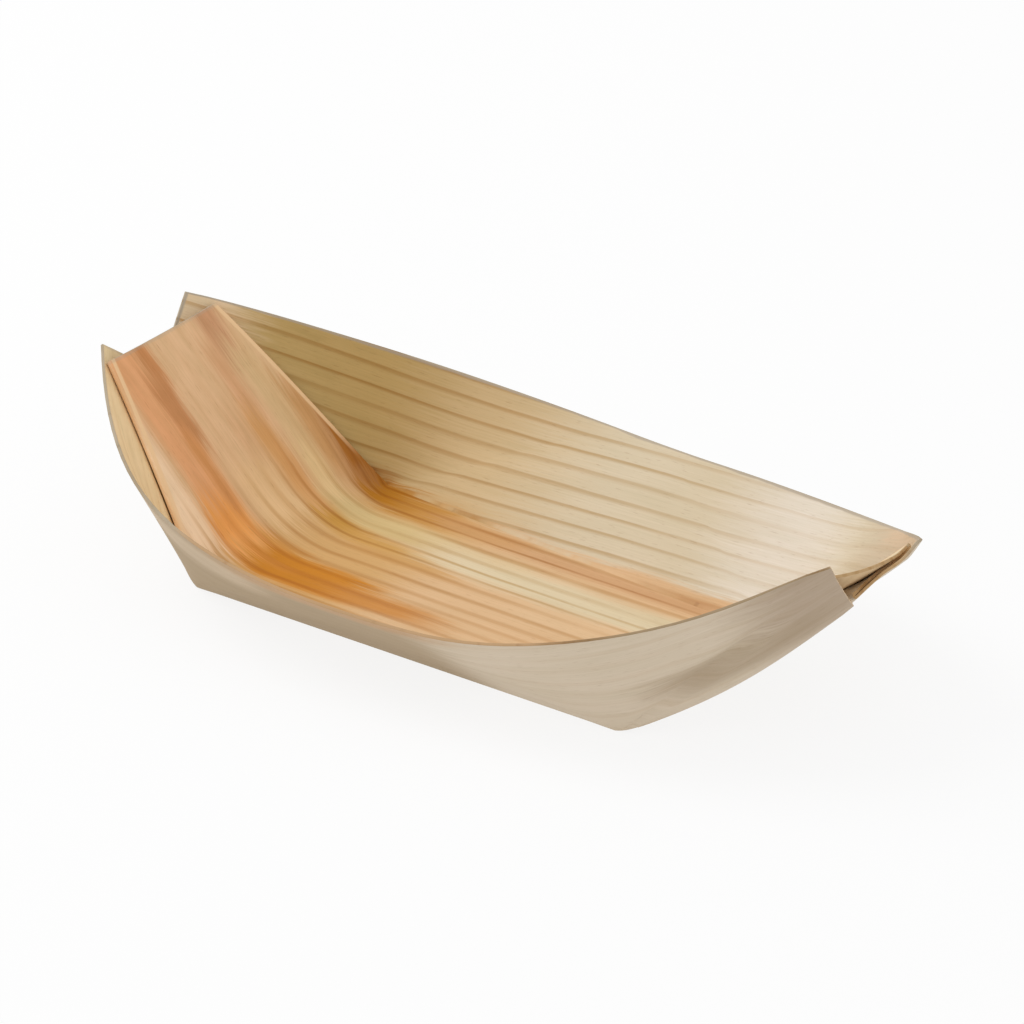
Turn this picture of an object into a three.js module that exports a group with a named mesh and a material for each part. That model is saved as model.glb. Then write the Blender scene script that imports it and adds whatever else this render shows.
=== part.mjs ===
// A snack boat folded from one uncut sheet of pine veneer: a flat floor, a ramp that bends up at each end,
// and two leaning side walls whose ends wrap round behind the ramps as flaps. At each corner a hidden pleat
// lies between the ramp and the flap, and two dabs of glue hold the three layers together.
// X runs along the boat, Y across it from front to back, Z up from the surface that it rests on.
import * as THREE from 'three';
import { mergeVertices } from 'three/addons/utils/BufferGeometryUtils.js';

const { MathUtils, Vector3 } = THREE;

// The sheet, and the room left between its layers
const SHEET_THICKNESS = 0.6;
const LAYER_CLEARANCE = 0.3;
const GLUE_CLEARANCE = 0.1;

// The floor, a little wider at its left end
const FLOOR_LENGTH = 95;
const FLOOR_WIDTH_LEFT = 54.6;
const FLOOR_WIDTH_RIGHT = 46.4;

// The ramps: length up the slope, slope in degrees, and a bend that is wide in the middle and tight at the corners
// of the floor. The right ramp bows outwards towards the middle of its top edge.
const RAMP_LENGTH = 45.5;
const RAMP_SLOPE = 47.4;
const RAMP_TOP_WIDTH = 30.5;
const RAMP_TOP_DIP_LEFT = 0.15;
const RAMP_TOP_DIP_RIGHT = 1.1;
const RAMP_BOW_RIGHT = 3.1;
const RAMP_BOW_START = 11.5;
const RAMP_BOW_POWER = 1.5;
const BEND_RADIUS_MIDDLE = 26;
const BEND_RADIUS_CORNER = 0.5;

// The rim at the middle of the boat, above the floor's inner face, and how it eases from there to the ears
const RIM_WIDTH = 90.5;
const RIM_HEIGHT = 17.6;
const RIM_EASE_MIDDLE = 38.5;
const RIM_EASE_EAR = 37.4;
const EAR_SWEEP_ANGLE = 48.8;
const EAR_CLIMB_ANGLE = 18.6;

// The ears and flaps, measured from the ramp's top corner: up the slope, inwards, and behind the ramp
const EAR_RISE = 3.7;
const EAR_RISE_BACK_LEFT = 4.8;
const EAR_INSET_LEFT = 3.1;
const EAR_INSET_RIGHT = 1.6;
const EAR_GAP = 0.15;
const FLAP_DROP = 5.2;
const FLAP_GAP = 5.5;
const SEAM_GAP = 0.6;
const BELLY_DEPTH_FRONT = 2.5;
const BELLY_DEPTH_BACK = 1;
const WRAP_START = 0.5;
const WRAP_RADIUS = 1.5;

// The warp of the dried veneer: each ear end rolls a little about the boat's length, in degrees
const ROLL_LEFT = 2.9;
const ROLL_RIGHT = -10.1;
const ROLL_START = 20;

// The dabs of glue: length, width, and distance from the pleat's top edge and from the fold beside them
const GLUE_LENGTH = 14;
const GLUE_WIDTH = 4;
const GLUE_BELOW_TOP = 12;
const GLUE_FROM_FOLD = 3;

// Facets, with the walls' rows crowded towards the floor corners
const RIM_STEPS = 14;
const FLAP_STEPS = 6;
const WALL_ROWS = 11;
const ROW_CROWDING = 1.6;
const RAMP_COLUMNS = 14;
const BEND_ROWS = 6;
const SLOPE_ROWS = 12;
const PLEAT_ROWS = 9;
const GLUE_SIDES = 12;
const GLUE_RINGS = 2;

const ENDS = { left: -1, right: 1 };
const SIDES = { front: -1, back: 1 };
const FLOOR_END = FLOOR_LENGTH / 2;
const SLOPE = MathUtils.degToRad(RAMP_SLOPE);
const TWO_LAYERS = SHEET_THICKNESS + LAYER_CLEARANCE;
const THREE_LAYERS = 2 * TWO_LAYERS;
const X_AXIS = new Vector3(1, 0, 0);

const steps = (count) => Array.from({ length: count + 1 }, (_, i) => i / count);

const veneer = () => new THREE.MeshStandardMaterial({ color: '#dcbc8c', roughness: 0.75, metalness: 0 });
const driedGlue = () => new THREE.MeshStandardMaterial({ color: '#e9e2cf', roughness: 0.5, metalness: 0 });

// Places on the folded sheet. The sheet's inner face is the reference, with the floor at height zero.

function floorCorner(end, side) {
  const width = end < 0 ? FLOOR_WIDTH_LEFT : FLOOR_WIDTH_RIGHT;
  return new Vector3(end * FLOOR_END, side * width / 2, 0);
}

// A place on an end: run up the slope from the floor's end, across the boat, and depth behind the ramp's face.
function onRamp(end, run, across, depth) {
  const x = FLOOR_END + run * Math.cos(SLOPE) + depth * Math.sin(SLOPE);
  const z = run * Math.sin(SLOPE) - depth * Math.cos(SLOPE);
  return new Vector3(end * x, across, z);
}

function runOf(end, point) {
  return (end * point.x - FLOOR_END) * Math.cos(SLOPE) + point.z * Math.sin(SLOPE);
}

function depthOf(end, point) {
  return (end * point.x - FLOOR_END) * Math.sin(SLOPE) - point.z * Math.cos(SLOPE);
}

function earTip(end, side) {
  const inset = end < 0 ? EAR_INSET_LEFT : EAR_INSET_RIGHT;
  const across = side * (RAMP_TOP_WIDTH / 2 - inset);
  const rise = end < 0 && side > 0 ? EAR_RISE_BACK_LEFT : EAR_RISE;
  return onRamp(end, RAMP_LENGTH + rise, across, THREE_LAYERS + EAR_GAP);
}

function flapCorner(end, side) {
  return onRamp(end, RAMP_LENGTH - FLAP_DROP, side * SEAM_GAP / 2, THREE_LAYERS + FLAP_GAP);
}

function rimCurve(end, side) {
  const middle = new Vector3(0, side * RIM_WIDTH / 2, RIM_HEIGHT);
  const leave = floorCorner(end, side).sub(floorCorner(-end, side)).normalize();
  const tip = earTip(end, side);
  const sweep = MathUtils.degToRad(EAR_SWEEP_ANGLE);
  const climb = MathUtils.degToRad(EAR_CLIMB_ANGLE);
  const level = Math.cos(climb);
  const arrive = new Vector3(end * level * Math.cos(sweep), -side * level * Math.sin(sweep), Math.sin(climb));
  const easeOut = middle.clone().addScaledVector(leave, RIM_EASE_MIDDLE);
  const easeIn = tip.clone().addScaledVector(arrive, -RIM_EASE_EAR);
  return new THREE.CubicBezierCurve3(middle, easeOut, easeIn, tip);
}

// The free border of half a wall: 0 to 1 is the rim from the middle to the ear, 1 to 2 the flap's end edge.
function borderPoint(end, side, place) {
  if (place <= 1) return rimCurve(end, side).getPoint(place);
  return earTip(end, side).lerp(flapCorner(end, side), place - 1);
}

// The wall's inner face is a fan of lines from the floor's corner to the border. Behind the ramp it steps out past
// the ramp's thickness close to the corner, and bellies.
function wallPoint(end, side, place, share) {
  const point = floorCorner(end, side).lerp(borderPoint(end, side, place), share);
  const step = TWO_LAYERS * (1 - Math.exp(-share * RAMP_LENGTH / WRAP_RADIUS)) * (1 - share);
  const belly = (side < 0 ? BELLY_DEPTH_FRONT : BELLY_DEPTH_BACK) * Math.sin(Math.PI * share);
  const behind = (step + belly) * MathUtils.smoothstep(place, WRAP_START, 1);
  return point.add(onRamp(end, 0, 0, behind)).sub(onRamp(end, 0, 0, 0));
}

function wallNormal(end, side, place, share) {
  const step = 0.01;
  const height = Math.max(share, 2 * step);
  const before = wallPoint(end, side, Math.max(place - step, 0), height);
  const after = wallPoint(end, side, Math.min(place + step, 2), height);
  const below = wallPoint(end, side, place, height - step);
  const above = wallPoint(end, side, place, height + step);
  const normal = after.sub(before).cross(above.sub(below)).normalize();
  return normal.multiplyScalar(-end * side);
}

// The outer edge of the fold between floor and wall, where the two outer faces meet.
function foldOffset(end, side) {
  const down = new Vector3(0, 0, -1);
  const outward = wallNormal(end, side, 0, 1);
  const reach = SHEET_THICKNESS / (1 + down.dot(outward));
  return down.add(outward).multiplyScalar(reach);
}

// The smallest distance from a floor corner at which the wall, from a border place on to the flap's bottom fold,
// stands clear of the ramp's face by the given depth.
function clearRadius(end, side, first, depth) {
  const step = LAYER_CLEARANCE / 3;
  const clear = (radius) => steps(FLAP_STEPS).every((part) => {
    const place = MathUtils.lerp(first, 2, part);
    return depthOf(end, wallPoint(end, side, place, radius / cornerDistance(end, side, place))) >= depth;
  });
  let radius = step;
  while (!clear(radius) && radius < RAMP_LENGTH / 2) radius += step;
  return radius;
}

// Distance and bearing of a border place from the floor corner, seen square to the ramp.
function cornerDistance(end, side, place) {
  const point = borderPoint(end, side, place);
  return Math.hypot(runOf(end, point), point.y - floorCorner(end, side).y);
}

function bearing(end, side, run, across) {
  return Math.atan2(side * (floorCorner(end, side).y - across), run);
}

// The border place that lies straight behind the ramp's side edge.
function creasePlace(end, side) {
  const target = bearing(end, side, RAMP_LENGTH, side * RAMP_TOP_WIDTH / 2);
  const halvings = 40;
  let low = WRAP_START;
  let high = 2;
  for (let turn = 0; turn < halvings; turn += 1) {
    const middle = (low + high) / 2;
    const point = borderPoint(end, side, middle);
    if (bearing(end, side, runOf(end, point), point.y) < target) low = middle;
    else high = middle;
  }
  return low;
}

// The warp, which grows towards the ears and leaves the floor flat, and the lift that sets the boat on the ground.
function settle(point) {
  const tip = earTip(ENDS.right, SIDES.back);
  const reach = MathUtils.smoothstep(Math.abs(point.x), ROLL_START, tip.x);
  const height = Math.max(point.z, 0) / tip.z;
  const roll = MathUtils.degToRad(point.x < 0 ? ROLL_LEFT : ROLL_RIGHT);
  const settled = point.clone().applyAxisAngle(X_AXIS, roll * reach * height);
  settled.z += SHEET_THICKNESS;
  return settled;
}

// Closed solids from faces

function addTriangle(corners, a, b, c) {
  if (a.distanceTo(b) > 1e-6 && b.distanceTo(c) > 1e-6 && c.distanceTo(a) > 1e-6) corners.push(a, b, c);
}

function addStrip(corners, first, second) {
  for (let i = 0; i + 1 < first.length; i += 1) {
    addTriangle(corners, first[i], first[i + 1], second[i + 1]);
    addTriangle(corners, first[i], second[i + 1], second[i]);
  }
}

function volumeOf(corners) {
  let volume = 0;
  for (let i = 0; i < corners.length; i += 3) {
    volume += corners[i].dot(corners[i + 1].clone().cross(corners[i + 2])) / 6;
  }
  return volume;
}

function solid(name, material, corners) {
  const facing = volumeOf(corners) < 0 ? corners.reverse() : corners;
  const geometry = new THREE.BufferGeometry().setFromPoints(facing.map(settle));
  const merged = mergeVertices(geometry, 1e-4);
  merged.computeVertexNormals();
  const mesh = new THREE.Mesh(merged, material);
  mesh.name = name;
  return mesh;
}

// A plate between two grids of points with matching rows.
function plate(name, material, inner, outer) {
  const corners = [];
  const last = inner.length - 1;
  for (let row = 0; row < last; row += 1) {
    addStrip(corners, inner[row], inner[row + 1]);
    addStrip(corners, outer[row + 1], outer[row]);
  }
  addStrip(corners, outer[0], inner[0]);
  addStrip(corners, inner[last], outer[last]);
  const edge = (grid, column) => grid.map((points) => points.at(column));
  addStrip(corners, edge(inner, 0), edge(outer, 0));
  addStrip(corners, edge(outer, -1), edge(inner, -1));
  return solid(name, material, corners);
}

// The ramps and the floor

function bendRadius(place) {
  return BEND_RADIUS_CORNER + (BEND_RADIUS_MIDDLE - BEND_RADIUS_CORNER) * (1 - place * place);
}

// Distance from the middle of the boat to the ramp's straight side edge, at a run up the slope.
function rampEdge(end, run) {
  const corner = floorCorner(end, SIDES.back).y;
  return corner + (RAMP_TOP_WIDTH / 2 - corner) * Math.max(run, 0) / RAMP_LENGTH;
}

// Half the ramp's width, with a round bite at the floor corner that clears the flap.
function rampHalfWidth(end, side, run) {
  const bite = clearRadius(end, side, creasePlace(end, side), TWO_LAYERS);
  return rampEdge(end, run) - Math.sqrt(Math.max(bite * bite - Math.max(run, 0) ** 2, 0));
}

function rampBow(end, run, across) {
  if (end < 0) return 0;
  const share = Math.min(Math.abs(across) / rampEdge(end, run), 1);
  const climb = MathUtils.smoothstep(run, RAMP_BOW_START, RAMP_LENGTH);
  return RAMP_BOW_RIGHT * climb * (1 - share * share) ** RAMP_BOW_POWER;
}

// Runs up one line of the ramp: negative before the floor's end, through the bend, then up the slope.
function rampRuns(end, place) {
  const tangent = bendRadius(place) * Math.tan(SLOPE / 2);
  const dip = end < 0 ? RAMP_TOP_DIP_LEFT : RAMP_TOP_DIP_RIGHT;
  const top = RAMP_LENGTH - dip * (1 - place * place);
  const bend = steps(BEND_ROWS).map((part) => tangent * (2 * part - 1));
  const slope = steps(SLOPE_ROWS).slice(1).map((part) => tangent + (top - tangent) * part * part);
  return [...bend, ...slope];
}

function rampPoint(end, place, run, depth) {
  const radius = bendRadius(place);
  const tangent = radius * Math.tan(SLOPE / 2);
  const across = place * rampHalfWidth(end, Math.sign(place) || 1, run);
  if (run >= tangent) return onRamp(end, run, across, depth + rampBow(end, run, across));
  const turn = SLOPE * (run + tangent) / (2 * tangent);
  const x = FLOOR_END - tangent + (radius + depth) * Math.sin(turn);
  const z = radius - (radius + depth) * Math.cos(turn);
  return new Vector3(end * x, across, z);
}

function rampLines(end, depth) {
  const places = steps(RAMP_COLUMNS).map((part) => 2 * part - 1);
  return places.map((place) => rampRuns(end, place).map((run) => rampPoint(end, place, run, depth)));
}

function ramp(name, end) {
  return plate(name, veneer(), rampLines(end, 0), rampLines(end, SHEET_THICKNESS));
}

function floorPanel() {
  const top = [];
  const bottom = [];
  for (const end of [ENDS.right, ENDS.left]) {
    const first = end > 0 ? SIDES.front : SIDES.back;
    const seats = (depth) => rampLines(end, depth).map((line) => line[0]);
    const turned = (line) => (end > 0 ? line : line.reverse());
    const corners = [floorCorner(end, first), floorCorner(end, -first)];
    top.push(corners[0], ...turned(seats(0)), corners[1]);
    const outside = [first, -first].map((side) => floorCorner(end, side).add(foldOffset(end, side)));
    bottom.push(outside[0], ...turned(seats(SHEET_THICKNESS)), outside[1]);
  }
  const outline = top.map((point) => new THREE.Vector2(point.x, point.y));
  const corners = [];
  for (const [a, b, c] of THREE.ShapeUtils.triangulateShape(outline, [])) {
    addTriangle(corners, top[a], top[b], top[c]);
    addTriangle(corners, bottom[c], bottom[b], bottom[a]);
  }
  addStrip(corners, [...bottom, bottom[0]], [...top, top[0]]);
  return solid('floor_panel', veneer(), corners);
}

// The walls

// Places along half a wall's border, with one straight behind the ramp's side edge and one at the ear. An even step
// that falls too close to the first of these gives way to it.
function wallPlaces(end, side) {
  const crease = creasePlace(end, side);
  const tooClose = 0.2 / RIM_STEPS;
  const rim = steps(RIM_STEPS).slice(0, -1);
  const flap = steps(FLAP_STEPS).slice(1).map((part) => 1 + part);
  const others = [...rim, ...flap].filter((place) => Math.abs(place - crease) > tooClose);
  return [...others, crease, 1].sort((a, b) => a - b);
}

function wall(name, side) {
  const half = (end) => wallPlaces(end, side).map((place) => ({ end, place }));
  const columns = [...half(ENDS.left).reverse(), ...half(ENDS.right)];
  const rows = steps(WALL_ROWS).map((part) => part ** ROW_CROWDING);
  const inner = rows.map((share) => columns.map(({ end, place }) => wallPoint(end, side, place, share)));
  const outer = rows.map((share) => columns.map(({ end, place }) => {
    if (share === 0 && place === 0) return floorCorner(end, side).add(foldOffset(end, side));
    const outward = wallNormal(end, side, place, share);
    return wallPoint(end, side, place, share).addScaledVector(outward, SHEET_THICKNESS);
  }));
  return plate(name, veneer(), inner, outer);
}

// The corner pleats and their glue. A spot on a pleat is its share of the way from the ramp's side edge, where the
// ear leaves room for it, to the flap's bottom fold, and its distance from the floor corner.

function pleatPlace(end, side, across) {
  return MathUtils.lerp(Math.max(creasePlace(end, side), 1), 2, across);
}

function flapAt(end, side, across, distance) {
  const place = pleatPlace(end, side, across);
  return wallPoint(end, side, place, distance / cornerDistance(end, side, place));
}

// Distance from the floor corner to the pleat's top edge, which joins the ramp's top corner and the flap's corner.
function pleatLength(end, side, across) {
  const corner = floorCorner(end, side).y;
  const point = borderPoint(end, side, pleatPlace(end, side, across));
  const ray = new THREE.Vector2(runOf(end, point), point.y - corner).normalize();
  const start = new THREE.Vector2(RAMP_LENGTH, side * RAMP_TOP_WIDTH / 2 - corner);
  const edge = new THREE.Vector2(RAMP_LENGTH - FLAP_DROP, side * SEAM_GAP / 2 - corner).sub(start);
  return start.cross(edge) / ray.cross(edge);
}

// Depth of the pleat's near face: against the ramp at the ramp's side edge, against the flap at the bottom fold.
function pleatDepth(end, flap, across) {
  const nearest = rampBow(end, runOf(end, flap), flap.y) + TWO_LAYERS;
  const farthest = depthOf(end, flap) - TWO_LAYERS;
  return MathUtils.lerp(nearest, farthest, across);
}

function atDepth(end, flap, depth) {
  return onRamp(end, runOf(end, flap), flap.y, depth);
}

function pleat(name, end, side) {
  const first = pleatPlace(end, side, 0);
  const start = clearRadius(end, side, first, THREE_LAYERS);
  const columns = wallPlaces(end, side).filter((place) => place >= first);
  const face = (thickness) => columns.map((place) => {
    const across = MathUtils.inverseLerp(first, 2, place);
    const length = pleatLength(end, side, across);
    return steps(PLEAT_ROWS).map((part) => {
      const flap = flapAt(end, side, across, MathUtils.lerp(start, length, part));
      return atDepth(end, flap, pleatDepth(end, flap, across) + thickness);
    });
  });
  return plate(name, veneer(), face(0), face(SHEET_THICKNESS));
}

// An oval dab between two depths, given by a function of the place on the pleat.
function dab(name, end, side, fromFold, depths) {
  const turns = steps(GLUE_SIDES).slice(0, -1).map((part) => 2 * Math.PI * part);
  const spot = (radius, turn, face) => {
    const middle = pleatLength(end, side, fromFold < 0 ? 1 : 0) - GLUE_BELOW_TOP;
    const distance = middle + radius * GLUE_LENGTH / 2 * Math.cos(turn);
    const span = flapAt(end, side, 0, distance).distanceTo(flapAt(end, side, 1, distance));
    const offset = Math.abs(fromFold) + radius * GLUE_WIDTH / 2 * Math.sin(turn);
    const across = fromFold < 0 ? 1 - offset / span : offset / span;
    const flap = flapAt(end, side, across, distance);
    return atDepth(end, flap, depths(flap, across)[face]);
  };
  const corners = [];
  const ring = (radius, face) => [...turns, turns[0]].map((turn) => spot(radius, turn, face));
  const radii = steps(GLUE_RINGS);
  for (let i = 0; i < GLUE_RINGS; i += 1) {
    addStrip(corners, ring(radii[i], 0), ring(radii[i + 1], 0));
    addStrip(corners, ring(radii[i + 1], 1), ring(radii[i], 1));
  }
  addStrip(corners, ring(1, 0), ring(1, 1));
  return solid(name, driedGlue(), corners);
}

function glueRampToPleat(name, end, side) {
  return dab(name, end, side, GLUE_FROM_FOLD, (flap, across) => [
    rampBow(end, runOf(end, flap), flap.y) + SHEET_THICKNESS + GLUE_CLEARANCE,
    pleatDepth(end, flap, across) - GLUE_CLEARANCE,
  ]);
}

function gluePleatToWall(name, end, side) {
  return dab(name, end, side, -GLUE_FROM_FOLD, (flap, across) => [
    pleatDepth(end, flap, across) + SHEET_THICKNESS + GLUE_CLEARANCE,
    depthOf(end, flap) - GLUE_CLEARANCE,
  ]);
}

const boat = new THREE.Group();
boat.name = 'snack_boat';
boat.add(floorPanel());
for (const [endName, end] of Object.entries(ENDS)) boat.add(ramp(`${endName}_ramp`, end));
for (const [sideName, side] of Object.entries(SIDES)) boat.add(wall(`${sideName}_wall`, side));
for (const [endName, end] of Object.entries(ENDS)) {
  for (const [sideName, side] of Object.entries(SIDES)) {
    const corner = `${sideName}_${endName}`;
    boat.add(pleat(`corner_pleat_${corner}`, end, side));
    boat.add(glueRampToPleat(`glue_ramp_to_pleat_${corner}`, end, side));
    boat.add(gluePleatToWall(`glue_pleat_to_wall_${corner}`, end, side));
  }
}

export default boat;
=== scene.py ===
import itertools
import math

import bpy
import numpy as np
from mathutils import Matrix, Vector


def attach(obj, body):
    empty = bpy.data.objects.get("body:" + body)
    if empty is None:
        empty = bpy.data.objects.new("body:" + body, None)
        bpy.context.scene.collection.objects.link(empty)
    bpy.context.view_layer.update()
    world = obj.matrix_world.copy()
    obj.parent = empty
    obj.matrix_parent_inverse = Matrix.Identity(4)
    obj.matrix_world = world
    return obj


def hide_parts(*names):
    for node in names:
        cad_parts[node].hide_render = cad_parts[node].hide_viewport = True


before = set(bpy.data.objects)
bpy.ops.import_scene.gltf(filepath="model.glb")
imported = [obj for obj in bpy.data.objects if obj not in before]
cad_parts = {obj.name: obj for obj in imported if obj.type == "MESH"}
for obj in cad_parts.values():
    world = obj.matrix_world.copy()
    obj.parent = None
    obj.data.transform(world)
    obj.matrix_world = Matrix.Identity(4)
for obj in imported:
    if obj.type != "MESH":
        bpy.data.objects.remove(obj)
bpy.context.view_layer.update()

# Sizes of the boat in millimetres: the solids' sizes, with small departures read from the photograph.
# An end is -1 for left and 1 for right. A side is -1 for front and 1 for back.
MM = 0.001
THICKNESS = 0.6
LAYER_GAP = 0.3
TWO_LAYERS = THICKNESS + LAYER_GAP
THREE_LAYERS = 2 * TWO_LAYERS
FLOOR_LENGTH = 95.0
FLOOR_END = FLOOR_LENGTH / 2
FLOOR_WIDTH = {-1: 54.6, 1: 46.4}
RAMP_LENGTH = 45.5
SLOPE = math.radians(47.4)
RAMP_TOP_WIDTH = {-1: 30.5, 1: 31.3}
RAMP_TOP_DIP = {-1: 0.15, 1: 0.0}
RAMP_LEAN = {-1: 0.0, 1: 1.15}
RAMP_LEAN_TWIST = 0.22
RAMP_BOW = {-1: 0.0, 1: 1.95}
RAMP_BOW_SPAN = (11.5, 43.0)
RAMP_BOW_POWER = 0.8
BEND_RADIUS = 26.0
RIM_WIDTH = 90.5
RIM_HEIGHT = 17.6
RIM_EASE_MIDDLE = 38.5
RIM_EASE_EAR = 37.4
# How the warp lifts the rim, by end and side: height, where it peaks between middle and ear, and sharpness
RIM_LIFT = {
    (-1, -1): (-0.6, 0.7, 4.0),
    (-1, 1): (-1.15, 0.667, 3.0),
    (1, -1): (-1.75, 0.76, 5.5),
    (1, 1): (1.0, 0.75, 3.0),
}
# Ears and flaps: how they leave the rim, stand over the ramp and wrap round behind it
EAR_SWEEP = math.radians(48.8)
EAR_CLIMB = math.radians(18.6)
EAR_RISE = 3.7
EAR_RISE_BACK_LEFT = 4.8
EAR_INSET = {-1: 3.1, 1: 2.0}
EAR_SPRING = 0.15
FLAP_DROP = 5.2
FLAP_SPRING = 5.5
FLAP_SPRING_BACK_RIGHT = 4.4
FLAP_SEAM = 0.6
BELLY = {-1: 2.5, 1: 1.0}
WRAP_START = 0.5
BELLY_SPAN = (0.93, 1.25)
WRAP_TURN = 1.5
# How softly, and over what part of the flap, a bowed ramp pushes the flap behind it back
PUSH_EASE = 0.2
PUSH_FROM_BOW = 0.5
PUSH_BESIDE = 7.0
PUSH_RIM_SHARE = 0.92
PUSH_FLAP_PLACE = 1.15
# How the ends of the dried veneer roll
ROLL = {-1: math.radians(2.9), 1: math.radians(-10.1)}
ROLL_START = 20.0

# How the folds are rounded, and how the layers pinch together at a floor corner
CREASE_RADIUS = 1.3
CREASE_TAPER = 6.0
EDGE_FOLD = 1.45
EDGE_LIFT = 0.35
EDGE_LIFT_WIDTH = 2.6
FOLD_BACK = EDGE_FOLD - EDGE_LIFT - THICKNESS
PINCH_REACH = 8.0
PINCH_THICKNESS = 0.2
PLEAT_START = 3.0
HUG_GAP = 0.06
HUG_POWER = 3.0
FLAP_FOLD_PLACE = 1.953
EDGE_BEVEL = 0.12
PLEAT_BEVEL = 0.03
PLEAT_OPEN_SPAN = (0.945, 1.0)
PLEAT_OPEN_DEEP = 0.06
CREASE_PLACE = 0.06
PLEAT_FIRST_PLACE = 0.9
INSET_POWER = 2
TUCK_POWER = 8
FULL_BEND = 2.0
FLOOR_EASE_FROM = 0.8

# Facets
CREASE_STATIONS = 44
FAN_COLUMNS = 42
TIP_CLEARANCE = 0.01
FOLD_ROWS = 6
SHARE_ROWS = 28
SHARE_CROWDING = 1.5
RAMP_COLUMNS = 60
BEND_ROWS = 16
PLEAT_COLUMNS = 12
ARC_STEPS = 8
GLUE_SPOKES = 24
GLUE_RINGS = 4
BORDER_SAMPLES = 1201
PLEAT_SAMPLES = 400

# What counts as nothing, and the cells in which corners fall together, with a reach past their sides
NO_LENGTH = 1e-12
NO_FOLD = 1e-6
NO_NORMAL = 0.5
MERGE_CELL = 0.0005
MERGE_REACH = np.array([-0.25, 0.25])

# Dabs of glue
GLUE_LENGTH = 14.0
GLUE_WIDTH = 4.0
GLUE_BELOW_TOP = 12.0
GLUE_FROM_FOLD = 3.0
GLUE_GAP = 0.01
GLUE_ROUNDING = 0.6

ENDS = {"left": -1, "right": 1}
SIDES = {"front": -1, "back": 1}
SHARES = np.linspace(0, 1, SHARE_ROWS + 1) ** SHARE_CROWDING
STATIONS = (1 - np.cos(np.linspace(0, math.pi, CREASE_STATIONS + 1))) / 2
RAMP_EVEN = np.linspace(-1, 1, RAMP_COLUMNS + 1)
RAMP_PLACES = (RAMP_EVEN + np.sin(RAMP_EVEN * math.pi / 2)) / 2
DOWN = np.array([0.0, 0.0, -1.0])

# The flat sheet's map: one unit of the UV map is this many millimetres of the sheet
SHEET_SPAN = 200.0


def smooth(value, low, high):
    part = np.clip((np.asarray(value, float) - low) / (high - low), 0, 1)
    return part * part * (3 - 2 * part)


def unit(vectors):
    lengths = np.linalg.norm(vectors, axis=-1, keepdims=True)
    return vectors / np.maximum(lengths, NO_LENGTH)


def blend(first, second, part):
    return first + (second - first) * np.asarray(part)[..., None]


def cubic(start, leave, arrive, finish, t):
    """A curve from start to finish, eased by the two points between."""
    return (1 - t) ** 3 * start + 3 * (1 - t) ** 2 * t * leave + 3 * (1 - t) * t * t * arrive + t**3 * finish


def pinch(distance):
    return smooth(distance, 0, PINCH_REACH)


def set_up(name, data):
    """A new object in the scene."""
    made = bpy.data.objects.new(name, data)
    bpy.context.scene.collection.objects.link(made)
    return made


# Places on the folded sheet


def floor_corner(end, side):
    return np.array([end * FLOOR_END, side * FLOOR_WIDTH[end] / 2, 0.0])


def on_ramp(end, run, across, depth):
    run, across, depth = np.broadcast_arrays(run, across, depth)
    x = FLOOR_END + run * math.cos(SLOPE) + depth * math.sin(SLOPE)
    z = run * math.sin(SLOPE) - depth * math.cos(SLOPE)
    return np.stack([end * x, across + 0.0, z], -1)


def run_of(end, points):
    return (end * points[..., 0] - FLOOR_END) * math.cos(SLOPE) + points[..., 2] * math.sin(SLOPE)


def depth_of(end, points):
    return (end * points[..., 0] - FLOOR_END) * math.sin(SLOPE) - points[..., 2] * math.cos(SLOPE)


def ear_tip(end, side):
    across = side * (RAMP_TOP_WIDTH[end] / 2 - EAR_INSET[end])
    rise = EAR_RISE_BACK_LEFT if (end, side) == (-1, 1) else EAR_RISE
    return on_ramp(end, RAMP_LENGTH + rise, across, THREE_LAYERS + EAR_SPRING)


def flap_corner(end, side):
    spring = FLAP_SPRING_BACK_RIGHT if (end, side) == (1, 1) else FLAP_SPRING
    return on_ramp(end, RAMP_LENGTH - FLAP_DROP, side * FLAP_SEAM / 2, THREE_LAYERS + spring)


def rim_lift(end, side, place):
    """How far the warp of the veneer lifts the rim between its middle and the ear."""
    height, peak, power = RIM_LIFT[end, side]
    return height * (place / peak) ** power * ((1 - place) / (1 - peak)) ** (power * (1 - peak) / peak)


def border(end, side, place):
    """The wall's free border: 0 to 1 along the rim from the middle to the ear, 1 to 2 along the flap's end."""
    place = np.asarray(place, float)[..., None]
    middle = np.array([0.0, side * RIM_WIDTH / 2, RIM_HEIGHT])
    leave = unit(floor_corner(end, side) - floor_corner(-end, side))
    tip = ear_tip(end, side)
    level = math.cos(EAR_CLIMB)
    arrive = np.array([end * level * math.cos(EAR_SWEEP), -side * level * math.sin(EAR_SWEEP), math.sin(EAR_CLIMB)])
    on_rim = np.clip(place, 0, 1)
    rim = cubic(middle, middle + leave * RIM_EASE_MIDDLE, tip - arrive * RIM_EASE_EAR, tip, on_rim)
    rim = rim - DOWN * rim_lift(end, side, on_rim)
    flap = tip + (flap_corner(end, side) - tip) * np.clip(place - 1, 0, 1)
    return np.where(place <= 1, rim, flap)


def edge_slant(end):
    return (FLOOR_WIDTH[end] - RAMP_TOP_WIDTH[end]) / 2 / RAMP_LENGTH


def ramp_edge(end, run):
    return FLOOR_WIDTH[end] / 2 - edge_slant(end) * np.maximum(run, 0)


def ramp_bow(end, run, across):
    """How far a ramp leans and bows back from its plane."""
    place = np.clip(across / ramp_edge(end, run), -1, 1)
    lean = RAMP_LEAN[end] * (1 + RAMP_LEAN_TWIST * place)
    climb = smooth(run, *RAMP_BOW_SPAN)
    return climb * (lean + RAMP_BOW[end] * (1 - place * place) ** RAMP_BOW_POWER)


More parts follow.
